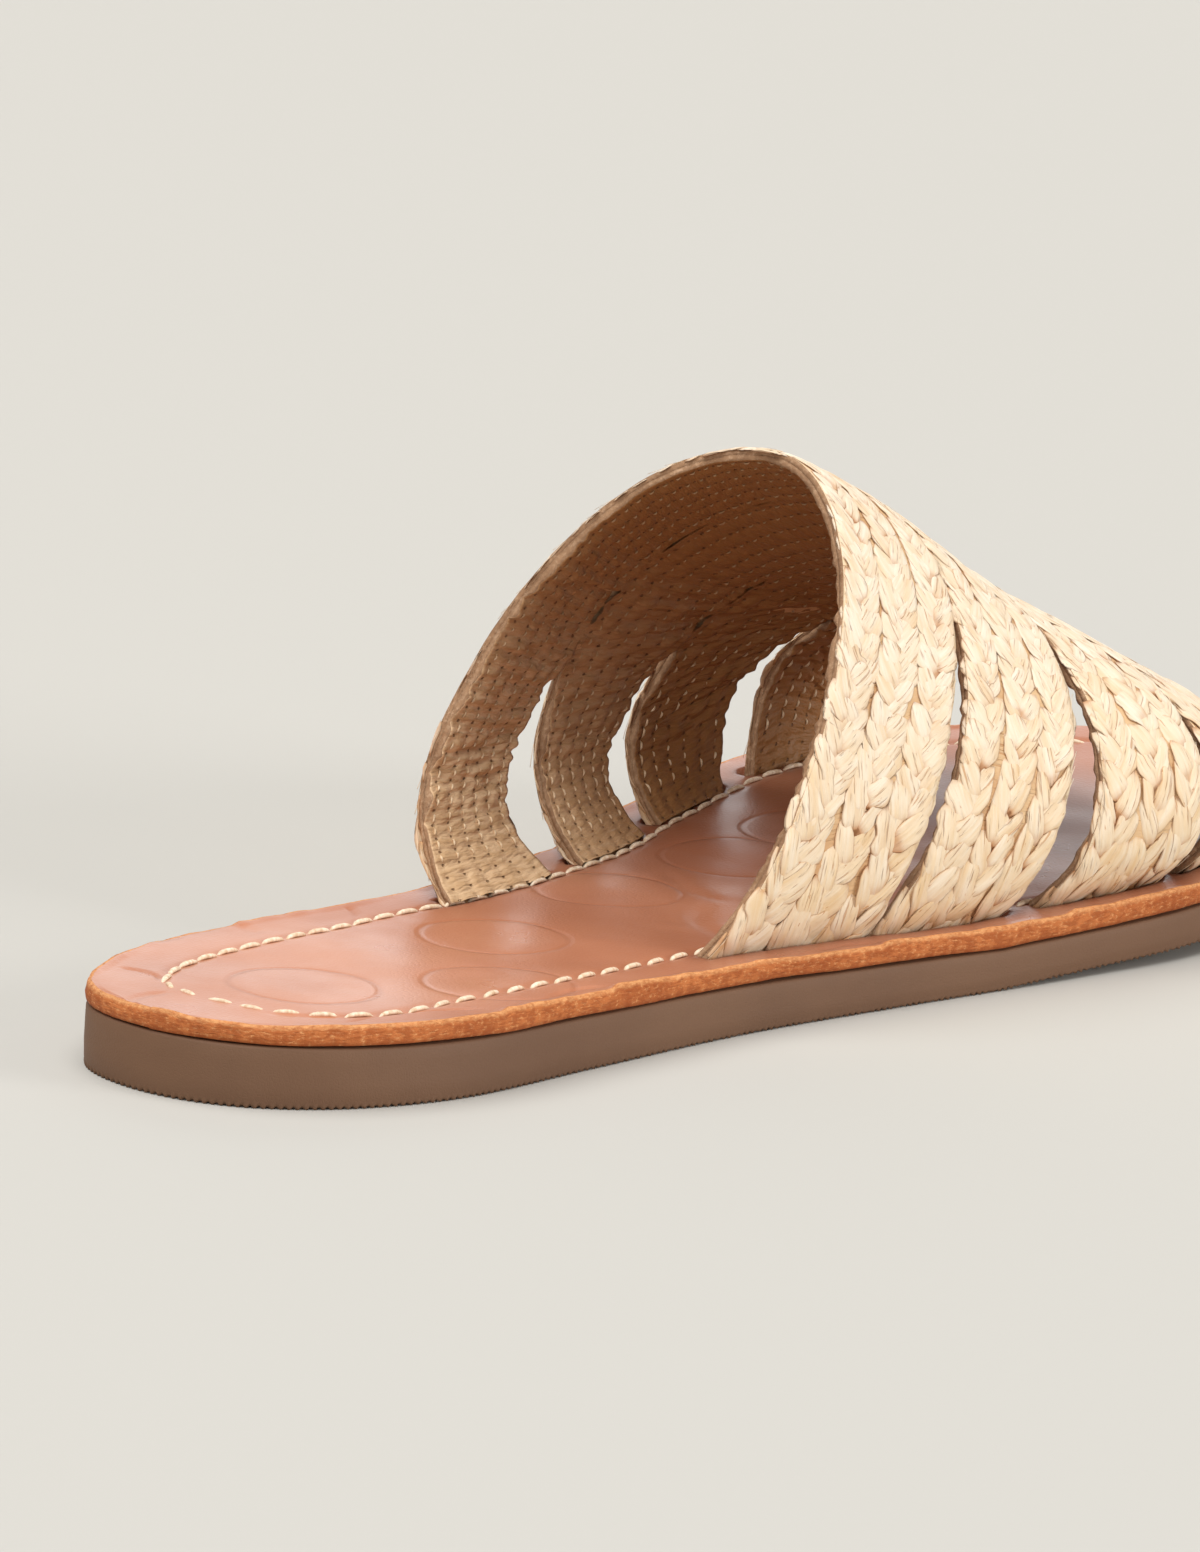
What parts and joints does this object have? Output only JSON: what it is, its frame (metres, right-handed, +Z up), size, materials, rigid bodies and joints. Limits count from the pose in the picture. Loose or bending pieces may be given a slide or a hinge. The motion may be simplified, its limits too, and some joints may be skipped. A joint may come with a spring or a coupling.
{
  "type": "slide sandal",
  "caption": "Flat slide sandal with a rubber sole, a leather insole board and a hollow raffia upper slit into side straps.",
  "frame": {"origin": "centre of the bounding box, on the plane that the sole stands on", "axes": "+Z up, the toe points along -Y, +X towards the big-toe side"},
  "size_m": [0.0951, 0.25, 0.0756],
  "materials": {
    "rubber": "matt taupe moulded rubber",
    "leather": "smooth tan leather with a raw orange-brown edge",
    "raffia": "pale plaited raffia, dry and slightly glossy"
  },
  "bodies": {
    "root": {"outsole": "rubber", "insole": "leather", "upper": "raffia"}
  },
  "joints": []
}
